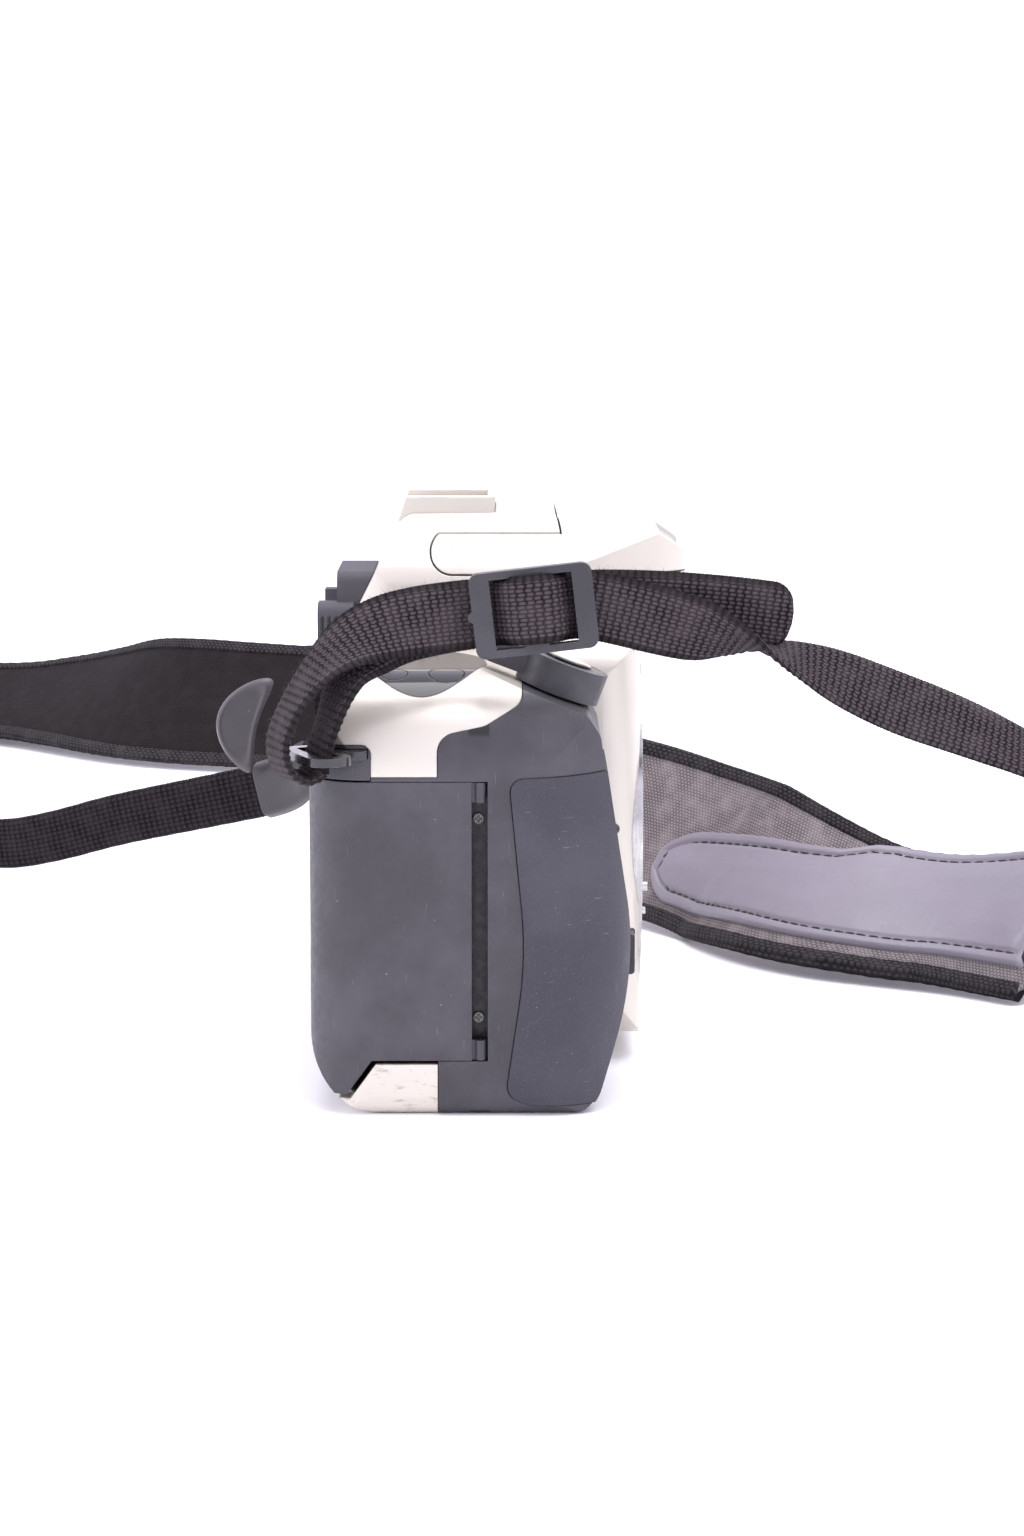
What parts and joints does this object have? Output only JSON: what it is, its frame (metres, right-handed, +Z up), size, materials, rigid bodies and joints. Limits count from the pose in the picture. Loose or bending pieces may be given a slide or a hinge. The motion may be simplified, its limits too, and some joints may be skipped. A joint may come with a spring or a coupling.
{
  "type": "film SLR camera body",
  "caption": "35 mm autofocus film SLR body without lens, with pop-up flash, hinged film door, working controls and a woven neck strap on its two lugs",
  "frame": {"origin": "mouth of the tripod socket, on the base plane, under the lens axis", "axes": "+X toward the far end (the hand grip is at -X), -Y toward the lens side, +Z up"},
  "size_m": [0.4325, 0.3136, 0.0886],
  "materials": {
    "champagne": "satin",
    "body_black": "satin",
    "rubber": "matte",
    "gloss_black": "gloss",
    "inner_black": "matte",
    "steel": "brushed",
    "lug_black": "gloss",
    "blade": "matte",
    "gold": "gloss",
    "clear": "gloss",
    "silvered": "gloss",
    "board": "satin",
    "lcd": "satin",
    "capacitor": "satin",
    "cell": "satin",
    "webbing": "matte",
    "buckle": "satin"
  },
  "bodies": {
    "camera": {"chassis": "inner_black", "mirror_box": "inner_black", "lens_mount_ring": "steel", "mount_screws": "steel", "front_cover": "champagne", "grip_cover": "body_black", "grip_rubber": "rubber", "top_cover": "champagne", "prism_cover": "champagne", "bottom_cover": "champagne", "tripod_bush": "steel", "base_screws": "steel", "small_screws": "steel", "control_panel": "gloss_black", "lcd_module": "lcd", "accessory_shoe": "champagne", "shoe_contacts": "gold", "eyepiece_lens": "clear", "eyecup": "rubber", "pentamirror": "silvered", "focusing_screen": "clear", "shutter_frame": "inner_black", "transport_motor": "steel", "main_board": "board", "flash_capacitor": "capacitor", "battery_cells": "cell", "battery_contacts": "inner_black", "autofocus_module": "inner_black", "hinge_pins": "steel", "lug_bases": "body_black", "strap_lugs": "lug_black", "grip_strap": "webbing", "neck_band": "webbing", "far_strap": "webbing", "strap_buckle": "buckle"},
    "door": {"film_door": "body_black", "pressure_plate": "steel", "film_window": "clear"},
    "latch": {"door_latch": "body_black"},
    "flash": {"flash_head": "champagne", "flash_window": "clear"},
    "shutter_button": {"shutter_button": "body_black"},
    "power_switch": {"power_switch": "body_black"},
    "mode_dial": {"mode_dial": "body_black"},
    "panel_button_rear": {"panel_button_rear": "gloss_black"},
    "panel_button_front": {"panel_button_front": "gloss_black"},
    "lens_release": {"lens_release": "body_black"},
    "lock_pin": {"lock_pin": "steel"},
    "af_coupler": {"af_coupler": "steel"},
    "mirror": {"reflex_mirror": "silvered"},
    "sub_mirror": {"sub_mirror": "silvered"},
    "first_curtain_upper": {"first_curtain_upper": "blade"},
    "first_curtain_lower": {"first_curtain_lower": "blade"},
    "second_curtain_lower": {"second_curtain_lower": "blade"},
    "second_curtain_upper": {"second_curtain_upper": "blade"},
    "take_up_spool": {"take_up_spool": "inner_black"},
    "rewind_fork": {"rewind_fork": "inner_black"},
    "battery_lid": {"battery_door": "body_black"},
    "dioptre_slider": {"dioptre_slider": "body_black"}
  },
  "joints": [
    {"name": "door_hinge", "type": "hinge", "parent": "camera", "child": "door", "pos_m": [-0.0666, 0.0047, 0.03], "axis": [0, 0, 1], "range_deg": [0, 105]},
    {"name": "latch_slide", "type": "slide", "parent": "door", "child": "latch", "axis": [0, 0, -1], "range_m": [0, 0.0028], "stiffness_N_per_m": 120},
    {"name": "flash_hinge", "type": "hinge", "parent": "camera", "child": "flash", "pos_m": [0, 0.0095, 0.0805], "axis": [-1, 0, 0], "range_deg": [0, 55]},
    {"name": "shutter_button_slide", "type": "slide", "parent": "camera", "child": "shutter_button", "axis": [0, 0.3531, -0.9356], "range_m": [0, 0.0008], "stiffness_N_per_m": 250},
    {"name": "power_switch_turn", "type": "hinge", "parent": "camera", "child": "power_switch", "pos_m": [-0.05, -0.0066, 0.06181], "axis": [0, -0.3531, 0.9356], "range_deg": [0, 35]},
    {"name": "mode_dial_turn", "type": "hinge", "parent": "camera", "child": "mode_dial", "pos_m": [0.0465, 0.0125, 0.068], "axis": [0, 0, 1], "continuous": true},
    {"name": "panel_button_rear_slide", "type": "slide", "parent": "camera", "child": "panel_button_rear", "axis": [0, 0, -1], "range_m": [0, 0.0004], "stiffness_N_per_m": 300},
    {"name": "panel_button_front_slide", "type": "slide", "parent": "camera", "child": "panel_button_front", "axis": [0, 0, -1], "range_m": [0, 0.0004], "stiffness_N_per_m": 300},
    {"name": "lens_release_slide", "type": "slide", "parent": "camera", "child": "lens_release", "axis": [1, 0, 0], "range_m": [0, 0.0015], "stiffness_N_per_m": 300},
    {"name": "lock_pin_slide", "type": "slide", "parent": "camera", "child": "lock_pin", "axis": [0, 1, 0], "range_m": [0, 0.0012]},
    {"name": "af_coupler_turn", "type": "hinge", "parent": "camera", "child": "af_coupler", "pos_m": [-0.0219, -0.018, 0.0228], "axis": [0, 1, 0], "continuous": true},
    {"name": "mirror_hinge", "type": "hinge", "parent": "camera", "child": "mirror", "pos_m": [0, 0.012, 0.0489], "axis": [-1, 0, 0], "range_deg": [0, 45], "stiffness_Nm_per_rad": 0.02},
    {"name": "sub_mirror_hinge", "type": "hinge", "parent": "mirror", "child": "sub_mirror", "pos_m": [0, 0.00302, 0.03667], "axis": [-1, 0, 0], "range_deg": [0, 90]},
    {"name": "first_upper_slide", "type": "slide", "parent": "camera", "child": "first_curtain_upper", "axis": [0, 0, -1], "range_m": [0, 0.0248]},
    {"name": "first_lower_slide", "type": "slide", "parent": "camera", "child": "first_curtain_lower", "axis": [0, 0, -1], "range_m": [0, 0.0128]},
    {"name": "second_lower_slide", "type": "slide", "parent": "camera", "child": "second_curtain_lower", "axis": [0, 0, -1], "range_m": [0, 0.0248]},
    {"name": "second_upper_slide", "type": "slide", "parent": "camera", "child": "second_curtain_upper", "axis": [0, 0, -1], "range_m": [0, 0.0128]},
    {"name": "spool_turn", "type": "hinge", "parent": "camera", "child": "take_up_spool", "pos_m": [-0.046, 0.0186, 0.03], "axis": [0, 0, 1], "continuous": true},
    {"name": "rewind_turn", "type": "hinge", "parent": "camera", "child": "rewind_fork", "pos_m": [0.046, 0.013, 0.012], "axis": [0, 0, 1], "continuous": true},
    {"name": "battery_lid_hinge", "type": "hinge", "parent": "camera", "child": "battery_lid", "pos_m": [-0.04025, 0, 0.00045], "axis": [0, -1, 0], "range_deg": [0, 90]},
    {"name": "dioptre_slide", "type": "slide", "parent": "camera", "child": "dioptre_slider", "axis": [0, 0, 1], "range_m": [0, 0.004]}
  ],
  "couplings": [
    {"joint": "lock_pin_slide", "follows": "lens_release_slide", "ratio": 0.8},
    {"joint": "sub_mirror_hinge", "follows": "mirror_hinge", "ratio": 2},
    {"joint": "first_lower_slide", "follows": "first_upper_slide", "ratio": 0.51613},
    {"joint": "second_upper_slide", "follows": "second_lower_slide", "ratio": 0.51613}
  ]
}
